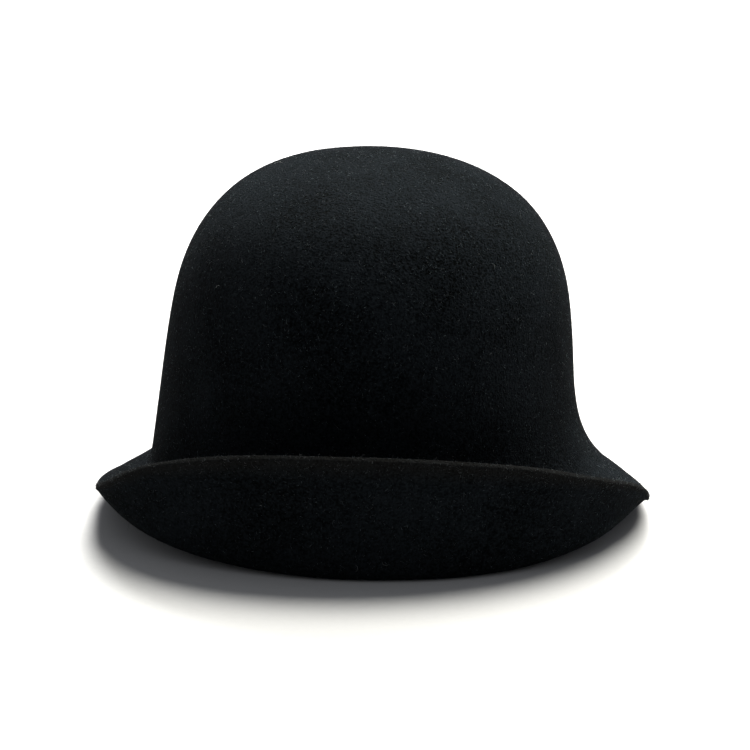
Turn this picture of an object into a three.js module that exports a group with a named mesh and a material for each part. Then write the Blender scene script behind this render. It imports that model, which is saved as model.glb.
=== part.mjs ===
// Soft cloche hat, blocked in one piece from wool felt. Millimetres, +Z up.
// The front of the hat faces -Y. The origin is on the table, under the middle of the hat.
//
// The felt is one sheet. A section through it, at any turn around the vertical axis, runs from the top
// of the crown down its wall, round the root of the brim, out to the fold and on to the cut edge.
// At the front the felt past the fold stands up as a flap. At the sides and back it slopes down.
// The solid is that sheet with half a thickness of felt either side of it, closed at the cut edge.
import * as THREE from 'three';
import { ParametricGeometry } from 'three/addons/geometries/ParametricGeometry.js';
import { mergeVertices } from 'three/addons/utils/BufferGeometryUtils.js';

const FELT_THICKNESS = 3;

// The crown is a dome on a wall. Both follow an oval that narrows upwards.
const CROWN_TOP = 149;
const SHOULDER_HEIGHT = 74;
const DOME_SQUARENESS = 2.7;
const CROWN_OVALS = [
  { height: 24, left: 93.5, right: 86.5, front: 99, back: 101 },
  { height: 150, left: 76, right: 81.5, front: 91, back: 91 },
];
// How far the top of the crown sits to +X of its base.
const CROWN_LEAN = -2.5;

// The brim, by turn in degrees from the front, positive towards +X.
// root: the height where wall and brim would meet, and where the bend begins, measured out from there.
// fold: where brim and flap would meet, and where the bend begins, measured along either from there.
// edge: the cut edge. R is a distance from the axis and Z a height.
const BRIM_SECTIONS = [
  { turn: -180, rootZ: 22, rootBend: 10, foldR: 117, foldZ: 10, foldBend: 6, edgeR: 132, edgeZ: 1 },
  { turn: -150, rootZ: 20, rootBend: 9, foldR: 112, foldZ: 9, foldBend: 6, edgeR: 126, edgeZ: 1 },
  { turn: -120, rootZ: 17, rootBend: 5, foldR: 104, foldZ: 9, foldBend: 4, edgeR: 115, edgeZ: 1.5 },
  { turn: -95, rootZ: 16, rootBend: 4, foldR: 105, foldZ: 12, foldBend: 5, edgeR: 116, edgeZ: 7 },
  { turn: -75, rootZ: 17, rootBend: 4, foldR: 114, foldZ: 13, foldBend: 6, edgeR: 121.5, edgeZ: 14 },
  { turn: -67, rootZ: 18, rootBend: 4, foldR: 119.5, foldZ: 14, foldBend: 8, edgeR: 127, edgeZ: 20 },
  { turn: -58, rootZ: 19, rootBend: 5, foldR: 124, foldZ: 8, foldBend: 11, edgeR: 131.5, edgeZ: 27 },
  { turn: -45, rootZ: 20, rootBend: 6, foldR: 125.5, foldZ: 1, foldBend: 14, edgeR: 136, edgeZ: 41.5 },
  { turn: -25, rootZ: 20, rootBend: 7, foldR: 121, foldZ: -6.3, foldBend: 15, edgeR: 136, edgeZ: 53.5 },
  { turn: 0, rootZ: 20, rootBend: 7, foldR: 120.5, foldZ: -8.7, foldBend: 15, edgeR: 135, edgeZ: 56 },
  { turn: 25, rootZ: 20, rootBend: 8, foldR: 123.5, foldZ: -7.3, foldBend: 15, edgeR: 136, edgeZ: 49.5 },
  { turn: 45, rootZ: 21, rootBend: 10, foldR: 124.5, foldZ: -2, foldBend: 14, edgeR: 134.5, edgeZ: 36 },
  { turn: 58, rootZ: 23, rootBend: 13, foldR: 122, foldZ: 4, foldBend: 11, edgeR: 130, edgeZ: 26 },
  { turn: 67, rootZ: 24, rootBend: 16, foldR: 119, foldZ: 8.5, foldBend: 8, edgeR: 127, edgeZ: 17 },
  { turn: 75, rootZ: 24, rootBend: 18, foldR: 115, foldZ: 10, foldBend: 4, edgeR: 122.5, edgeZ: 9 },
  { turn: 95, rootZ: 24, rootBend: 18, foldR: 106, foldZ: 11, foldBend: 4, edgeR: 115, edgeZ: 4 },
  { turn: 120, rootZ: 22, rootBend: 11, foldR: 104, foldZ: 9, foldBend: 5, edgeR: 115, edgeZ: 1.5 },
  { turn: 150, rootZ: 22, rootBend: 10, foldR: 112, foldZ: 9, foldBend: 6, edgeR: 126, edgeZ: 1 },
];
// The bend at the root reaches this many times further up the wall than out along the brim.
const ROOT_RISE = 1.5;
// Past the fold the felt bows towards the crown by this share of its rise, so that its lip turns out.
const LIP_CURL = 0.05;

// Divisions of the sheet: around, and along each stretch of a section.
const STEPS_AROUND = 64;
const STEPS = { dome: 12, wall: 4, root: 4, brim: 2, fold: 5, flap: 4 };
const STEPS_ALONG = Object.values(STEPS).reduce((sum, steps) => sum + steps, 0);

const FELT_COLOUR = 0x101214;
const FELT_ROUGHNESS = 0.95;

const MERGE_DISTANCE = 0.001;

const { degToRad, lerp } = THREE.MathUtils;

// A column of the brim's table at any turn, on a smooth closed curve through its rows.
function brimValue(column, turn) {
  const count = BRIM_SECTIONS.length;
  const row = (index) => {
    const laps = Math.floor(index / count);
    const section = BRIM_SECTIONS[index - laps * count];
    return { turn: section.turn + 360 * laps, value: section[column] };
  };
  let next = 1;
  while (next < count && BRIM_SECTIONS[next].turn <= turn) next += 1;
  const [before, start, end, after] = [next - 2, next - 1, next, next + 1].map(row);
  const startSlope = (end.value - before.value) / (end.turn - before.turn);
  const endSlope = (after.value - start.value) / (after.turn - start.turn);
  const span = end.turn - start.turn;
  const t = (turn - start.turn) / span;
  return lerp(start.value, end.value, t * t * (3 - 2 * t))
    + startSlope * span * t * (1 - t) ** 2
    - endSlope * span * t * t * (1 - t);
}

// Distance from the axis to an oval made of four quarter ellipses.
function ovalRadius(oval, turn) {
  const sine = Math.sin(degToRad(turn));
  const cosine = Math.cos(degToRad(turn));
  return 1 / Math.hypot(
    sine / (sine < 0 ? oval.left : oval.right),
    cosine / (cosine < 0 ? oval.back : oval.front),
  );
}

// Distance from the axis to the wall of the crown, before the dome closes it in.
function crownRadius(turn, height) {
  const [low, high] = CROWN_OVALS;
  const t = (height - low.height) / (high.height - low.height);
  return lerp(ovalRadius(low, turn), ovalRadius(high, turn), t);
}

// The dome's outline in a section: a superellipse from the top of the crown to the shoulder.
class DomeCurve extends THREE.Curve {
  constructor(turn) {
    super();
    this.turn = turn;
  }

  getPoint(t, target = new THREE.Vector2()) {
    const angle = t * Math.PI / 2;
    const power = 2 / DOME_SQUARENESS;
    const height = lerp(SHOULDER_HEIGHT, CROWN_TOP, Math.abs(Math.cos(angle)) ** power);
    return target.set(crownRadius(this.turn, height) * Math.sin(angle) ** power, height);
  }
}

// A bend in place of the corner where two straight stretches would meet. It leaves each at its own
// distance from the corner, and is round where the two distances are the same.
function bendCurve(before, corner, after, distanceBefore, distanceAfter) {
  const back = before.clone().sub(corner).normalize();
  const ahead = after.clone().sub(corner).normalize();
  const straightest = 0.01;
  const bend = Math.max(Math.PI - back.angleTo(ahead), straightest);
  const handle = 1 - 4 / 3 * Math.tan(bend / 4) / Math.tan(bend / 2);
  return new THREE.CubicBezierCurve(
    corner.clone().addScaledVector(back, distanceBefore),
    corner.clone().addScaledVector(back, distanceBefore * handle),
    corner.clone().addScaledVector(ahead, distanceAfter * handle),
    corner.clone().addScaledVector(ahead, distanceAfter),
  );
}

// The stretches of one section, in order from the top of the crown to the cut edge.
function sectionCurves(turn) {
  const at = (column) => brimValue(column, turn);
  const shoulder = new THREE.Vector2(crownRadius(turn, SHOULDER_HEIGHT), SHOULDER_HEIGHT);
  const root = new THREE.Vector2(crownRadius(turn, at('rootZ')), at('rootZ'));
  const fold = new THREE.Vector2(at('foldR'), at('foldZ'));
  const edge = new THREE.Vector2(at('edgeR'), at('edgeZ'));
  const rootBend = bendCurve(shoulder, root, fold, ROOT_RISE * at('rootBend'), at('rootBend'));
  const foldReach = Math.min(at('foldBend'), 0.6 * fold.distanceTo(edge));
  const foldBend = bendCurve(root, fold, edge, foldReach, foldReach);
  const flapStart = foldBend.v3;
  const inward = edge.clone().sub(flapStart).normalize().rotateAround(new THREE.Vector2(), Math.PI / 2);
  const bow = 2 * LIP_CURL * (edge.y - fold.y);
  const flapMiddle = flapStart.clone().lerp(edge, 0.6).addScaledVector(inward, bow);
  return {
    dome: new DomeCurve(turn),
    wall: new THREE.LineCurve(shoulder, rootBend.v0),
    root: rootBend,
    brim: new THREE.LineCurve(rootBend.v3, foldBend.v0),
    fold: foldBend,
    flap: new THREE.QuadraticBezierCurve(flapStart, flapMiddle, edge),
  };
}

// A point of the sheet, at a turn and a number of steps down its section.
function sheetPoint(curves, turn, steps) {
  const names = Object.keys(STEPS);
  let name = names.shift();
  let along = steps;
  while (along > STEPS[name] && names.length > 0) {
    along -= STEPS[name];
    name = names.shift();
  }
  const { x: radius, y: height } = curves[name].getPoint(along / STEPS[name]);
  const rise = Math.max(height - SHOULDER_HEIGHT, 0) / (CROWN_TOP - SHOULDER_HEIGHT);
  const angle = degToRad(turn);
  return new THREE.Vector3(
    radius * Math.sin(angle) + CROWN_LEAN * rise ** 2,
    -radius * Math.cos(angle),
    height,
  );
}

// The sheet on a grid of turns and steps: each point, and the direction out of the felt there.
function makeSheet() {
  const nudge = 0.02;
  const columns = [];
  for (let i = 0; i < STEPS_AROUND; i += 1) {
    const turn = 360 * i / STEPS_AROUND - 180;
    const curves = sectionCurves(turn);
    const nextCurves = sectionCurves(turn + nudge);
    const column = [];
    for (let step = 0; step <= STEPS_ALONG; step += 1) {
      const point = sheetPoint(curves, turn, step);
      const above = sheetPoint(curves, turn, Math.max(step - nudge, 0));
      const below = sheetPoint(curves, turn, Math.min(step + nudge, STEPS_ALONG));
      const around = sheetPoint(nextCurves, turn + nudge, step).sub(point);
      const outward = new THREE.Vector3(0, 0, 1);
      if (step > 0) outward.crossVectors(below.sub(above), around).normalize();
      column.push({ point, outward });
    }
    columns.push(column);
  }
  return columns;
}

// The closed surface: down the outside of the sheet, across the cut edge and back up the inside.
// Felt that would reach below the table is flat on it, and the origin is under the middle of the hat.
function makeFelt() {
  const sheet = makeSheet();
  const rows = 2 * STEPS_ALONG + 1;
  const surface = (u, v, target) => {
    const column = sheet[Math.round(u * STEPS_AROUND) % STEPS_AROUND];
    const row = Math.round((1 - v) * rows);
    const isOutside = row <= STEPS_ALONG;
    const { point, outward } = column[isOutside ? row : rows - row];
    target.copy(point).addScaledVector(outward, (isOutside ? 0.5 : -0.5) * FELT_THICKNESS);
    target.z = Math.max(target.z, 0);
  };
  const geometry = new ParametricGeometry(surface, STEPS_AROUND, rows);
  geometry.deleteAttribute('normal');
  geometry.deleteAttribute('uv');
  geometry.computeBoundingBox();
  const middle = geometry.boundingBox.getCenter(new THREE.Vector3());
  geometry.translate(-middle.x, -middle.y, 0);
  return mergeVertices(geometry, MERGE_DISTANCE);
}

const felt = new THREE.MeshStandardMaterial({
  name: 'wool_felt',
  color: FELT_COLOUR,
  roughness: FELT_ROUGHNESS,
  metalness: 0,
});

const body = new THREE.Mesh(makeFelt(), felt);
body.name = 'felt_body';

const hat = new THREE.Group();
hat.add(body);

export default hat;
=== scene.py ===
"""A soft black felt cloche, its brim turned up at the front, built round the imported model."""
import math

import bmesh
import bpy
import numpy as np
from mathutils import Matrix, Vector, noise


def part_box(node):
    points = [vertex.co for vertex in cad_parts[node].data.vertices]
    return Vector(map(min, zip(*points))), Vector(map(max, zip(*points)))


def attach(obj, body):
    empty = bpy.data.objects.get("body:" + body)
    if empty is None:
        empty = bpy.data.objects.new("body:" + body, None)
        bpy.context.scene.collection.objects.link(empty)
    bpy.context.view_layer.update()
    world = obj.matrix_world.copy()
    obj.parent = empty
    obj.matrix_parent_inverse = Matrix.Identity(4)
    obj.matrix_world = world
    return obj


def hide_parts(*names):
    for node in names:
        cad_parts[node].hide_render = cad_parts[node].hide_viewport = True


bl_info = {
    "name": "Felt cloche",
    "version": (1, 0, 0),
    "blender": (4, 5, 0),
    "location": "3D View > Sidebar > Felt cloche",
    "description": "Blocks a felt cloche over the packed model, with its nap, lint and studio",
    "category": "Object",
}

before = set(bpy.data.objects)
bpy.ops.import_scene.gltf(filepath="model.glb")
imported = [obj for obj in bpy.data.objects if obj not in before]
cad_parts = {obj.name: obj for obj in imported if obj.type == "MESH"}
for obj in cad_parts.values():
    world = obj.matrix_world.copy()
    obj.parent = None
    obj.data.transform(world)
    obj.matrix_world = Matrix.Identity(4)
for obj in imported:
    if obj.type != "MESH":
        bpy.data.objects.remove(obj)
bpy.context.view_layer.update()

MM = 0.001
BODY = "root"
NODE = "felt_body"
FLOOR_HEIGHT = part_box(NODE)[0][2]

# The felt's make.
MERGE_DISTANCE = 0.01 * MM
QUAD_BEND = math.radians(40)
QUAD_SKEW = math.radians(60)
CUT_EDGE_ANGLE = math.radians(55)
EDGE_SEGMENTS = 2
WANDER_SPAN = 28 * MM
WANDER_SHIFT = Vector((3.1, 1.7, 2.3))

# Sizes of the patterns, in millimetres, and how far each counts in the mat and its relief.
DYE_CLOUD = 34
FIBRE_CLUMP = 2.4
FIBRE_GRAIN = 1.0
GRAIN_IN_MAT = 0.65
CLUMP_IN_MAT = 0.35
CLUMP_IN_RELIEF = 0.5
CLOUD_TONE = 0.35
MAT_TONE = 0.9
SMOOTHEST, ROUGHEST = 0.86, 1.0
NAP_PATCH = 6
PAPER_TOOTH = 3

# Fibres lie on the whole felt, but thinly in the head hollow, where little light comes.
HOLLOW_MIDDLE = np.array([0.0, 0.0, 0.06])
HOLLOW_REACH = 0.096
HOLLOW_SHARE = 0.25

# Wool is 0.02 mm thick, too fine to show, so fibres are drawn thicker: the matted ends by about
# 4.5 times and the nap by about 3.5. lean is how steeply a fibre rises, in degrees, curl is how far
# it turns, in radians, and edge_favour is how much thicker the fibres lie on the cut edge.
MAT = {
    "length": 0.9 * MM,
    "radius": 0.045 * MM,
    "lean": (2.0, 18.0),
    "curl": (0.05, 0.1),
    "edge_favour": 0.2,
}
NAP = {"radius": 0.035 * MM, "lean": (4.0, 55.0), "curl": (0.2, 1.6), "edge_favour": 5.0}
CURLED_HAIR = {
    "length": 4.5 * MM,
    "radius": 0.05 * MM,
    "lean": (0.0, 8.0),
    "curl": (1.5, 5.5),
    "edge_favour": 0.0,
}
SPECK = {
    "length": 0.6 * MM,
    "radius": 0.14 * MM,
    "lean": (0.0, 20.0),
    "curl": (0.2, 1.6),
    "edge_favour": 0.0,
}
MAT_LOTS = {"dark": 1.0, "mid": 1.0, "pale": 0.55}
# Cuts along a fibre, so that it can curl, and the width of its tip. The matted ends are points.
NAP_CUTS = 1
HAIR_CUTS = 9
FIBRE_TIP = 0.3
# How deep a root is sunk in the felt, in radii of the fibre.
ROOT_DEPTH = 1.5
LENGTH_SPREAD = 0.35
THICKNESS_SPREAD = (0.7, 1.3)
LEAST_TURN = 0.05
FLOOR_GAP = 0.02 * MM
NAP_SHEEN = 0.2
LINT_SHEEN = 0.1
NAP_SEED = 11
LINT_SEED = 23
CURL_SEED = 37
MAT_SEED = 51

# The studio. Each lamp: name, place, aim, diameter in metres, watts, colour.
LAMPS = (
    ("overhead", (0.38, 0.62, 1.45), (0.0, 0.02, 0.08), 1.35, 95.0, "#fffdf6"),
    ("backdrop_wash", (0.1, 2.3, 1.9), (0.0, 1.2, 0.0), 1.2, 165.0, "#ffffff"),
)
AIR_STRENGTH = 0.38
AIR_COLOUR = "#f0f3f9"
SENSOR = 36.0
CAMERA_DISTANCE = 2.0
VIEW_WIDTH = 0.3225
CAMERA_AIM = (0.0008, 0.0, 0.0554)
CAMERA_ELEVATION = math.radians(15)
CAMERA_CLIP = (0.05, 50.0)
FLOOR_HALF_WIDTH = 6.0


# ---------------------------------------------------------------- colour and nodes


def linear(code):
    """An sRGB hex colour as the linear values that a socket takes."""
    code = code.lstrip("#")
    parts = [int(code[i : i + 2], 16) / 255 for i in (0, 2, 4)]
    curve = [c / 12.92 if c <= 0.04045 else ((c + 0.055) / 1.055) ** 2.4 for c in parts]
    return (*curve, 1.0)


def add(tree, kind, settings=None, links=None):
    """One node of this kind, its attributes or unlinked sockets set, and its sockets linked."""
    made = tree.nodes.new(kind)
    for key, value in (settings or {}).items():
        if isinstance(key, str) and hasattr(made, key):
            setattr(made, key, value)
        else:
            made.inputs[key].default_value = value
    for key, source in (links or {}).items():
        tree.links.new(source, made.inputs[key])
    return made


def new_material(name):
    """An empty node material and its node tree."""
    made = bpy.data.materials.new(name)
    made.use_nodes = True
    made.node_tree.nodes.clear()
    return made, made.node_tree


def per_metre(size_mm):
    """The scale of a noise whose grains are this size in millimetres."""
    return 1.0 / (size_mm * MM)


def wool_felt_material(look):
    """Wool felt: fine wool, dyed black, matted by steam and pressure and blocked over a form.

    The eye gets a deep matt black that never mirrors a lamp, a nap that catches a little light
    where it is seen along the surface, a clumpy grain of matted fibres, and a warmer, broken tone
    along the cut edge.
    """
    made, tree = new_material("blocked_wool_felt")
    place = add(tree, "ShaderNodeTexCoord").outputs["Object"]
    # Dye takes unevenly, in patches of 30 to 40 mm.
    cloud = add(
        tree,
        "ShaderNodeTexNoise",
        {"Scale": per_metre(DYE_CLOUD), "Detail": 3.0, "Roughness": 0.55},
        {"Vector": place},
    )
    # Steam and pressure mat the fibres in clumps of 2 to 3 mm.
    clump = add(
        tree,
        "ShaderNodeTexNoise",
        {"Scale": per_metre(FIBRE_CLUMP), "Detail": 5.0, "Roughness": 0.68, "Distortion": 0.6},
        {"Vector": place},
    )
    # Wool fibre is 0.02 mm thick, too fine to show, so the grain is drawn at 1 mm.
    grain = add(
        tree,
        "ShaderNodeTexNoise",
        {"Scale": per_metre(FIBRE_GRAIN), "Detail": 3.0, "Roughness": 0.65},
        {"Vector": place},
    )
    clump_in_mat = add(
        tree,
        "ShaderNodeMath",
        {"operation": "MULTIPLY", 1: CLUMP_IN_MAT},
        {0: clump.outputs["Fac"]},
    )
    mat = add(
        tree,
        "ShaderNodeMath",
        {"operation": "MULTIPLY_ADD", 1: GRAIN_IN_MAT},
        {0: grain.outputs["Fac"], 2: clump_in_mat.outputs["Value"]},
    )
    blotch = add(
        tree,
        "ShaderNodeMapRange",
        {"From Min": 0.36, "From Max": 0.66, "To Min": 0.0, "To Max": CLOUD_TONE},
        {"Value": cloud.outputs["Fac"]},
    )
    speck = add(
        tree,
        "ShaderNodeMapRange",
        {"From Min": 0.42, "From Max": 0.60, "To Min": 0.0, "To Max": MAT_TONE},
        {"Value": mat.outputs["Value"]},
    )
    tone = add(
        tree,
        "ShaderNodeMath",
        {"operation": "ADD", "use_clamp": True},
        {0: blotch.outputs["Result"], 1: speck.outputs["Result"]},
    )
    dye = add(
        tree,
        "ShaderNodeMix",
        {"data_type": "RGBA", 6: look.deep_dye, 7: look.full_dye},
        {"Factor": tone.outputs["Value"]},
    )
    # The cut edge shows the broken fibre ends of the felt's middle.
    fringe = add(tree, "ShaderNodeAttribute", {"attribute_name": "cut_edge"})
    fringe_share = add(
        tree,
        "ShaderNodeMath",
        {"operation": "MULTIPLY", "use_clamp": True},
        {0: fringe.outputs["Fac"], 1: grain.outputs["Fac"]},
    )
    colour = add(
        tree,
        "ShaderNodeMix",
        {"data_type": "RGBA", 7: look.cut_fringe},
        {"Factor": fringe_share.outputs["Value"], 6: dye.outputs[2]},
    )
    rough = add(
        tree,
        "ShaderNodeMapRange",
        {"From Min": 0.3, "From Max": 0.7, "To Min": SMOOTHEST, "To Max": ROUGHEST},
        {"Value": clump.outputs["Fac"]},
    )
    clump_in_relief = add(
        tree,
        "ShaderNodeMath",
        {"operation": "MULTIPLY", 1: CLUMP_IN_RELIEF},
        {0: clump.outputs["Fac"]},
    )
    relief = add(
        tree,
        "ShaderNodeMath",
        {"operation": "ADD"},
        {0: grain.outputs["Fac"], 1: clump_in_relief.outputs["Value"]},
    )
    bump = add(
        tree,
        "ShaderNodeBump",
        {"Strength": look.grain_strength, "Distance": look.grain_height},
        {"Height": relief.outputs["Value"]},
    )
    # Felt has no skin that could mirror a lamp, so almost nothing is left of its specular.
    shader = add(
        tree,
        "ShaderNodeBsdfPrincipled",
        {
            "IOR": 1.45,
            "Specular IOR Level": 0.01,
            "Sheen Weight": look.nap_sheen,
            "Sheen Roughness": look.nap_sheen_roughness,
            "Sheen Tint": look.nap_tint,
        },
        {
            "Base Color": colour.outputs[2],
            "Roughness": rough.outputs["Result"],
            "Normal": bump.outputs["Normal"],
        },
    )
    add(tree, "ShaderNodeOutputMaterial", {}, {"Surface": shader.outputs["BSDF"]})
    return made


def wool_fibre_material(name, shade, pale, sheen):
    """Single wool fibres, carded and loose: fine scaly hairs that stand in the light.

    They read paler than the mat they left, with a soft shine along them and no gloss.
    """
    made, tree = new_material(name)
    place = add(tree, "ShaderNodeTexCoord").outputs["Object"]
    # Dye differs from fibre to fibre. A patch is wider than a fibre, so each keeps one tone.
    patch = add(
        tree,
        "ShaderNodeTexNoise",
        {"Scale": per_metre(NAP_PATCH), "Detail": 1.0},
        {"Vector": place},
    )
    share = add(
        tree,
        "ShaderNodeMapRange",
        {"From Min": 0.35, "From Max": 0.65},
        {"Value": patch.outputs["Fac"]},
    )
    colour = add(
        tree,
        "ShaderNodeMix",
        {"data_type": "RGBA", 6: shade, 7: pale},
        {"Factor": share.outputs["Result"]},
    )
    shader = add(
        tree,
        "ShaderNodeBsdfPrincipled",
        {"Roughness": 0.8, "IOR": 1.55, "Specular IOR Level": 0.2, "Sheen Weight": sheen},
        {"Base Color": colour.outputs[2]},
    )
    add(tree, "ShaderNodeOutputMaterial", {}, {"Surface": shader.outputs["BSDF"]})
    return made


def fibre_end_material(name, colour):
    """One dye lot of short wool fibre ends, matted into the felt's face.

    Three lots lie mixed, so the eye gets a flecked mat and not a coat of paint. Each end is far too
    small to carry a pattern of its own.
    """
    made, tree = new_material(name)
    shader = add(
        tree,
        "ShaderNodeBsdfPrincipled",
        {"Base Color": colour, "Roughness": 0.85, "IOR": 1.55, "Specular IOR Level": 0.02},
    )
    add(tree, "ShaderNodeOutputMaterial", {}, {"Surface": shader.outputs["BSDF"]})
    return made


def paper_floor_material(look):
    """Matt grey backdrop paper, pressed smooth.

    The eye gets an even tone with only a faint tooth, and it is pale under strong lamps.
    """
    made, tree = new_material("grey_backdrop_paper")
    place = add(tree, "ShaderNodeTexCoord").outputs["Object"]
    # Paper tooth is under 0.2 mm, too fine to show, so it is drawn at 3 mm and very faint.
    tooth = add(
        tree,
        "ShaderNodeTexNoise",
        {"Scale": per_metre(PAPER_TOOTH), "Detail": 2.0},
        {"Vector": place},
    )
    colour = add(
        tree,
        "ShaderNodeMix",
        {"data_type": "RGBA", 6: look.paper_shade, 7: look.paper},
        {"Factor": tooth.outputs["Fac"]},
    )
    shader = add(
        tree,
        "ShaderNodeBsdfPrincipled",
        {"Roughness": 0.95, "Specular IOR Level": 0.1},
        {"Base Color": colour.outputs[2]},
    )
    add(tree, "ShaderNodeOutputMaterial", {}, {"Surface": shader.outputs["BSDF"]})
    return made


# ---------------------------------------------------------------- pieces


def finish_piece(name, mesh, material):
    """The mesh as a shown piece of the hat, at the origin, riding on its body."""
    piece = bpy.data.objects.new(name, mesh)
    bpy.context.scene.collection.objects.link(piece)
    mesh.materials.clear()
    mesh.materials.append(material)
    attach(piece, BODY)
    return piece


def merged_felt():
    """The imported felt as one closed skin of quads, in a bmesh of its own."""
    bm = bmesh.new()
    bm.from_mesh(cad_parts[NODE].data)
    bmesh.ops.remove_doubles(bm, verts=bm.verts, dist=MERGE_DISTANCE)
    bmesh.ops.join_triangles(
        bm,
        faces=bm.faces,
        angle_face_threshold=QUAD_BEND,
        angle_shape_threshold=QUAD_SKEW,
    )
    bmesh.ops.recalc_face_normals(bm, faces=bm.faces)
    open_edges = [e for e in bm.edges if not e.is_manifold]
    if open_edges:
        raise RuntimeError(f"the felt has {len(open_edges)} open edges after merging")
    return bm


def handled(point, height):
    """How far handling has pushed a place on the felt: a slow, even wander with no bias."""
    return height * noise.noise(point / WANDER_SPAN + WANDER_SHIFT)


def felt_surface():
    """Each triangle of the finished felt: its corners, unit normal, area and share of cut edge."""
    felt = bpy.data.objects["felt_hat"]
    solved = felt.evaluated_get(bpy.context.evaluated_depsgraph_get())
    mesh = solved.to_mesh()
    mesh.calc_loop_triangles()
    count = len(mesh.loop_triangles)
    corners = np.empty(count * 3, np.int32)
    mesh.loop_triangles.foreach_get("vertices", corners)
    places = np.empty(len(mesh.vertices) * 3, np.float32)
    mesh.vertices.foreach_get("co", places)
    edge = np.empty(len(mesh.vertices), np.float32)
    mesh.attributes["cut_edge"].data.foreach_get("value", edge)
    corners = corners.reshape(-1, 3)
    points = places.reshape(-1, 3).astype(float)[corners]
    cross = np.cross(points[:, 1] - points[:, 0], points[:, 2] - points[:, 0])
    size = np.linalg.norm(cross, axis=1)
    share = edge[corners].mean(axis=1)
    solved.to_mesh_clear()
    return points, cross / np.maximum(size, 1e-12)[:, None], size / 2, share


def scattered(random_source, count, edge_favour):
    """Places on the felt and the normals there: thicker on the cut edge, thinner in the hollow."""
    points, normals, area, share = felt_surface()
    inward = np.einsum("ij,ij->i", normals, HOLLOW_MIDDLE - points.mean(axis=1)) > 0
    reach = np.linalg.norm(points.mean(axis=1)[:, :2], axis=1)
    hollow = inward & (reach < HOLLOW_REACH)
    weight = area * (1 + edge_favour * share) * np.where(hollow, HOLLOW_SHARE, 1.0)
    chosen = random_source.choice(len(points), size=count, p=weight / weight.sum())
    u, v = random_source.random((2, count))
    over = u + v > 1
    u, v = np.where(over, 1 - u, u), np.where(over, 1 - v, v)
    a, b, c = points[chosen].transpose(1, 0, 2)
    return a + u[:, None] * (b - a) + v[:, None] * (c - a), normals[chosen]


def unit(vectors):
    """The vectors at length one."""
    return vectors / np.maximum(np.linalg.norm(vectors, axis=1), 1e-12)[:, None]


def fibre_shape(cuts, tip):
    """A closed, tapered three-sided fibre along Z from 0 to 1: its points and its triangles."""
    bm = bmesh.new()
    bmesh.ops.create_cone(bm, cap_ends=True, segments=3, radius1=1.0, radius2=tip, depth=1.0)
    bmesh.ops.translate(bm, verts=bm.verts, vec=(0.0, 0.0, 0.5))
    along = [e for e in bm.edges if abs(e.verts[0].co.z - e.verts[1].co.z) > 0.5]
    if cuts:
        bmesh.ops.subdivide_edges(bm, edges=along, cuts=cuts, use_grid_fill=True)
    bmesh.ops.triangulate(bm, faces=bm.faces)
    bmesh.ops.recalc_face_normals(bm, faces=bm.faces)
    bm.verts.index_update()
    points = np.array([v.co for v in bm.verts])
    faces = np.array([[v.index for v in f.verts] for f in bm.faces])
    bm.free()
    return points, faces


def joined(name, places, faces):
    """One mesh from many placed copies of a shape: places is (copies, points, 3)."""
    copies, points = places.shape[:2]
    every = (faces[None] + points * np.arange(copies)[:, None, None]).reshape(-1, 3)
    mesh = bpy.data.meshes.new(name)
    mesh.from_pydata(places.reshape(-1, 3).tolist(), [], every.tolist())
    mesh.update()
    for polygon in mesh.polygons:
        polygon.use_smooth = True
    return mesh


def strands(random_source, points, count, length, radius, lean, curl, edge_favour):
    """The points of every copy of a fibre laid on the felt, as (copies, points, 3)."""
    base, normal = scattered(random_source, count, edge_favour)
    wander = unit(random_source.normal(size=(count, 3)))
    flat = unit(np.cross(normal, wander))
    rise = np.radians(random_source.uniform(*lean, count))[:, None]
    heading = flat * np.cos(rise) + normal * np.sin(rise)
    side = unit(np.cross(heading, normal))
    lift = np.cross(side, heading)
    turn = random_source.uniform(*curl, count) * random_source.choice((-1.0, 1.0), count)
    turn = np.where(np.abs(turn) < LEAST_TURN, LEAST_TURN, turn)[:, None]
    reach = length * random_source.lognormal(0.0, LENGTH_SPREAD, count)[:, None]
    thick = radius * random_source.uniform(*THICKNESS_SPREAD, count)[:, None]
    along = points[:, 2][None]
    swing = turn * along
    forward = reach * np.sin(swing) / turn
    aside = reach * (1 - np.cos(swing)) / turn
    centre = (
        (base - normal * radius * ROOT_DEPTH)[:, None]
        + forward[..., None] * heading[:, None]
        + aside[..., None] * side[:, None]
    )
    across = np.cos(swing)[..., None] * side[:, None] - np.sin(swing)[..., None] * heading[:, None]
    places = (
        centre
        + (thick * points[:, 0][None])[..., None] * across
        + (thick * points[:, 1][None])[..., None] * lift[:, None]
    )
    # A fibre that meets the floor lies flat on it.
    places[..., 2] = np.maximum(places[..., 2], FLOOR_HEIGHT + FLOOR_GAP * points[:, 0][None])
    return places


def fibre_piece(name, random_source, shape, count, material, **lie):
    """A piece of many like fibres, joined in one mesh."""
    points, faces = shape
    places = strands(random_source, points, count, **lie)
    return finish_piece(name, joined(name, places, faces), material)


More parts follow.
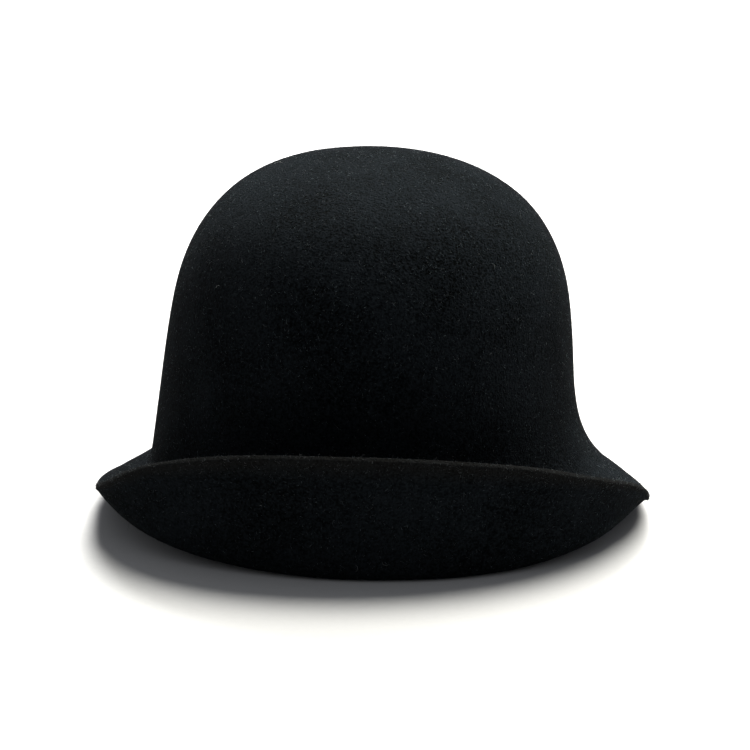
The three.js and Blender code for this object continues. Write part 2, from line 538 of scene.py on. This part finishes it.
class CLOCHE_PG_look(bpy.types.PropertyGroup):
    """Sizes and colours that a user would change."""

    deep_dye: bpy.props.FloatVectorProperty(
        name="Deep dye",
        description="Darkest black of the felt",
        default=linear("#000101"),
        subtype="COLOR",
        size=4,
        min=0.0,
        max=1.0,
    )
    full_dye: bpy.props.FloatVectorProperty(
        name="Full dye",
        description="Palest black of the felt",
        default=linear("#161a1d"),
        subtype="COLOR",
        size=4,
        min=0.0,
        max=1.0,
    )
    cut_fringe: bpy.props.FloatVectorProperty(
        name="Cut fringe",
        description="Fibre ends along the cut edge",
        default=linear("#1a1917"),
        subtype="COLOR",
        size=4,
        min=0.0,
        max=1.0,
    )
    nap_tint: bpy.props.FloatVectorProperty(
        name="Nap tint",
        description="Colour of the light caught by the nap",
        default=linear("#dcdedb"),
        subtype="COLOR",
        size=4,
        min=0.0,
        max=1.0,
    )
    nap_sheen: bpy.props.FloatProperty(
        name="Nap sheen",
        description="How much light the nap catches",
        default=0.004,
        min=0.0,
        max=1.0,
        subtype="FACTOR",
    )
    nap_sheen_roughness: bpy.props.FloatProperty(
        name="Nap spread",
        description="How wide the nap's light spreads",
        default=0.45,
        min=0.0,
        max=1.0,
        subtype="FACTOR",
    )
    grain_strength: bpy.props.FloatProperty(
        name="Grain strength",
        description="How strong the felt's grain is",
        default=1.0,
        min=0.0,
        max=1.0,
        subtype="FACTOR",
    )
    grain_height: bpy.props.FloatProperty(
        name="Grain height",
        description="Height of the felt's grain",
        default=2.2 * MM,
        min=0.0,
        unit="LENGTH",
    )
    edge_round: bpy.props.FloatProperty(
        name="Edge round",
        description="Radius worn on the corners of the cut edge",
        default=0.8 * MM,
        min=0.0,
        unit="LENGTH",
    )
    dent_height: bpy.props.FloatProperty(
        name="Handling",
        description="How far handling has pushed the felt in and out",
        default=0.35 * MM,
        min=0.0,
        unit="LENGTH",
    )
    smoothing: bpy.props.IntProperty(
        name="Smoothing", description="Subdivision levels of the felt", default=2, min=0, max=2
    )
    mat_count: bpy.props.IntProperty(
        name="Matted ends", description="Short fibre ends in a full dye lot", default=42000, min=0
    )
    mat_dark: bpy.props.FloatVectorProperty(
        name="Dark ends",
        description="Darkest dye lot of the fibre ends",
        default=linear("#020304"),
        subtype="COLOR",
        size=4,
        min=0.0,
        max=1.0,
    )
    mat_mid: bpy.props.FloatVectorProperty(
        name="Middle ends",
        description="Middle dye lot of the fibre ends",
        default=linear("#12171a"),
        subtype="COLOR",
        size=4,
        min=0.0,
        max=1.0,
    )
    mat_pale: bpy.props.FloatVectorProperty(
        name="Pale ends",
        description="Palest dye lot of the fibre ends",
        default=linear("#626a6d"),
        subtype="COLOR",
        size=4,
        min=0.0,
        max=1.0,
    )
    nap_count: bpy.props.IntProperty(
        name="Nap fibres", description="Single fibres that stand off the felt", default=6000, min=0
    )
    nap_length: bpy.props.FloatProperty(
        name="Nap length",
        description="Usual length of a standing fibre",
        default=1.6 * MM,
        min=0.0,
        unit="LENGTH",
    )
    nap_fibre: bpy.props.FloatVectorProperty(
        name="Nap fibre",
        description="Palest single fibre of the nap",
        default=linear("#22272a"),
        subtype="COLOR",
        size=4,
        min=0.0,
        max=1.0,
    )
    lint: bpy.props.FloatVectorProperty(
        name="Lint",
        description="Palest lint",
        default=linear("#a3a5a3"),
        subtype="COLOR",
        size=4,
        min=0.0,
        max=1.0,
    )
    lint_shade: bpy.props.FloatVectorProperty(
        name="Lint shade",
        description="Darkest lint",
        default=linear("#5d605f"),
        subtype="COLOR",
        size=4,
        min=0.0,
        max=1.0,
    )
    lint_count: bpy.props.IntProperty(
        name="Lint specks", description="Pale specks that lie on the felt", default=120, min=0
    )
    curl_count: bpy.props.IntProperty(
        name="Curled hairs", description="Pale curled hairs that lie on the felt", default=26, min=0
    )
    paper: bpy.props.FloatVectorProperty(
        name="Paper",
        description="Colour of the floor",
        default=linear("#adadad"),
        subtype="COLOR",
        size=4,
        min=0.0,
        max=1.0,
    )
    paper_shade: bpy.props.FloatVectorProperty(
        name="Paper shade",
        description="Tooth of the floor",
        default=linear("#a8a8a8"),
        subtype="COLOR",
        size=4,
        min=0.0,
        max=1.0,
    )


class CLOCHE_OT_felt(bpy.types.Operator):
    """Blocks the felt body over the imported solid, softens its cut edge and gives it its wool"""

    bl_idname = "cloche.felt"
    bl_label = "Felt body"

    def execute(self, context):
        look = context.scene.cloche_look
        bm = merged_felt()
        fringe = bm.verts.layers.float.new("cut_edge")
        corners = [e for e in bm.edges if e.calc_face_angle(0.0) > CUT_EDGE_ANGLE]
        if not corners:
            raise RuntimeError("the felt has no cut edge to soften")
        made = bmesh.ops.bevel(
            bm,
            geom=corners,
            offset=look.edge_round,
            offset_type="OFFSET",
            segments=EDGE_SEGMENTS,
            profile=0.5,
            affect="EDGES",
            material=-1,
        )
        for v in made["verts"]:
            v[fringe] = 1.0
        for v in bm.verts:
            v.co += v.normal * handled(v.co, look.dent_height)
            v.co.z = max(v.co.z, FLOOR_HEIGHT)
        mesh = bpy.data.meshes.new("felt_hat")
        bm.to_mesh(mesh)
        bm.free()
        for polygon in mesh.polygons:
            polygon.use_smooth = True
        piece = finish_piece("felt_hat", mesh, wool_felt_material(look))
        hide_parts(NODE)
        smooth = piece.modifiers.new("smoothing", "SUBSURF")
        smooth.levels = look.smoothing
        smooth.render_levels = look.smoothing
        return {"FINISHED"}


class CLOCHE_OT_mat(bpy.types.Operator):
    """Lays the short matted fibre ends that cover the felt, in three lots of the dye"""

    bl_idname = "cloche.mat"
    bl_label = "Matted fibre ends"

    def execute(self, context):
        look = context.scene.cloche_look
        shape = fibre_shape(0, 0.0)
        for step, (lot, share) in enumerate(MAT_LOTS.items()):
            source = np.random.default_rng(MAT_SEED + step)
            count = round(look.mat_count * share)
            dyed = fibre_end_material(f"wool_fibre_end_{lot}", getattr(look, f"mat_{lot}"))
            fibre_piece(f"mat_{lot}", source, shape, count, dyed, **MAT)
        return {"FINISHED"}


class CLOCHE_OT_nap(bpy.types.Operator):
    """Stands short loose fibres off the felt, thickest along its cut edge"""

    bl_idname = "cloche.nap"
    bl_label = "Nap"

    def execute(self, context):
        look = context.scene.cloche_look
        dyed = wool_fibre_material("dyed_wool_fibre", look.full_dye, look.nap_fibre, NAP_SHEEN)
        source = np.random.default_rng(NAP_SEED)
        shape = fibre_shape(NAP_CUTS, FIBRE_TIP)
        fibre_piece(
            "felt_nap", source, shape, look.nap_count, dyed, length=look.nap_length, **NAP
        )
        return {"FINISHED"}


class CLOCHE_OT_lint(bpy.types.Operator):
    """Drops pale specks and curled hairs of lint on the felt"""

    bl_idname = "cloche.lint"
    bl_label = "Lint"

    def execute(self, context):
        look = context.scene.cloche_look
        pale = wool_fibre_material("undyed_lint_fibre", look.lint_shade, look.lint, LINT_SHEEN)
        source = np.random.default_rng(CURL_SEED)
        shape = fibre_shape(HAIR_CUTS, FIBRE_TIP)
        fibre_piece("lint_hairs", source, shape, look.curl_count, pale, **CURLED_HAIR)
        source = np.random.default_rng(LINT_SEED)
        shape = fibre_shape(NAP_CUTS, FIBRE_TIP)
        fibre_piece("lint_specks", source, shape, look.lint_count, pale, **SPECK)
        return {"FINISHED"}


class CLOCHE_OT_stage(bpy.types.Operator):
    """Sets the paper floor, the lamps and the camera"""

    bl_idname = "cloche.stage"
    bl_label = "Studio"

    def execute(self, context):
        look = context.scene.cloche_look
        bm = bmesh.new()
        bmesh.ops.create_grid(bm, x_segments=1, y_segments=1, size=FLOOR_HALF_WIDTH)
        mesh = bpy.data.meshes.new("paper_floor")
        bm.to_mesh(mesh)
        bm.free()
        floor = bpy.data.objects.new("paper_floor", mesh)
        mesh.materials.append(paper_floor_material(look))
        context.scene.collection.objects.link(floor)

        world = bpy.data.worlds.new("studio_air")
        context.scene.world = world
        world.use_nodes = True
        world.node_tree.nodes.clear()
        air = add(
            world.node_tree,
            "ShaderNodeBackground",
            {"Color": linear(AIR_COLOUR), "Strength": AIR_STRENGTH},
        )
        add(world.node_tree, "ShaderNodeOutputWorld", {}, {"Surface": air.outputs["Background"]})

        for name, spot, aim, size, watts, colour in LAMPS:
            lamp = bpy.data.lights.new(name, "AREA")
            lamp.shape = "DISK"
            lamp.size = size
            lamp.energy = watts
            lamp.color = linear(colour)[:3]
            held = bpy.data.objects.new(name, lamp)
            held.location = spot
            held.rotation_euler = (Vector(aim) - Vector(spot)).to_track_quat("-Z", "Y").to_euler()
            context.scene.collection.objects.link(held)

        lens = bpy.data.cameras.new("camera")
        lens.sensor_width = SENSOR
        lens.lens = SENSOR * CAMERA_DISTANCE / VIEW_WIDTH
        lens.clip_start, lens.clip_end = CAMERA_CLIP
        camera = bpy.data.objects.new("camera", lens)
        aim = Vector(CAMERA_AIM)
        back = Vector((0.0, -math.cos(CAMERA_ELEVATION), math.sin(CAMERA_ELEVATION)))
        camera.location = aim + back * CAMERA_DISTANCE
        camera.rotation_euler = (-back).to_track_quat("-Z", "Y").to_euler()
        context.scene.collection.objects.link(camera)
        context.scene.camera = camera
        context.scene.view_settings.view_transform = "Standard"
        return {"FINISHED"}


PIECES = ("felt", "mat", "nap", "lint", "stage")


class CLOCHE_PT_panel(bpy.types.Panel):
    """Lists the steps and the values they read"""

    bl_idname = "CLOCHE_PT_panel"
    bl_label = "Felt cloche"
    bl_space_type = "VIEW_3D"
    bl_region_type = "UI"
    bl_category = "Felt cloche"

    def draw(self, context):
        look = context.scene.cloche_look
        for name in look.__annotations__:
            self.layout.prop(look, name)
        for step in PIECES:
            self.layout.operator(f"cloche.{step}")


CLASSES = (
    CLOCHE_PG_look,
    CLOCHE_OT_felt,
    CLOCHE_OT_mat,
    CLOCHE_OT_nap,
    CLOCHE_OT_lint,
    CLOCHE_OT_stage,
    CLOCHE_PT_panel,
)


def register():
    for made in CLASSES:
        bpy.utils.register_class(made)
    bpy.types.Scene.cloche_look = bpy.props.PointerProperty(type=CLOCHE_PG_look)


def unregister():
    del bpy.types.Scene.cloche_look
    for made in reversed(CLASSES):
        bpy.utils.unregister_class(made)


def main():
    register()
    for step in PIECES:
        getattr(bpy.ops.cloche, step)()


if __name__ == "__main__":
    main()
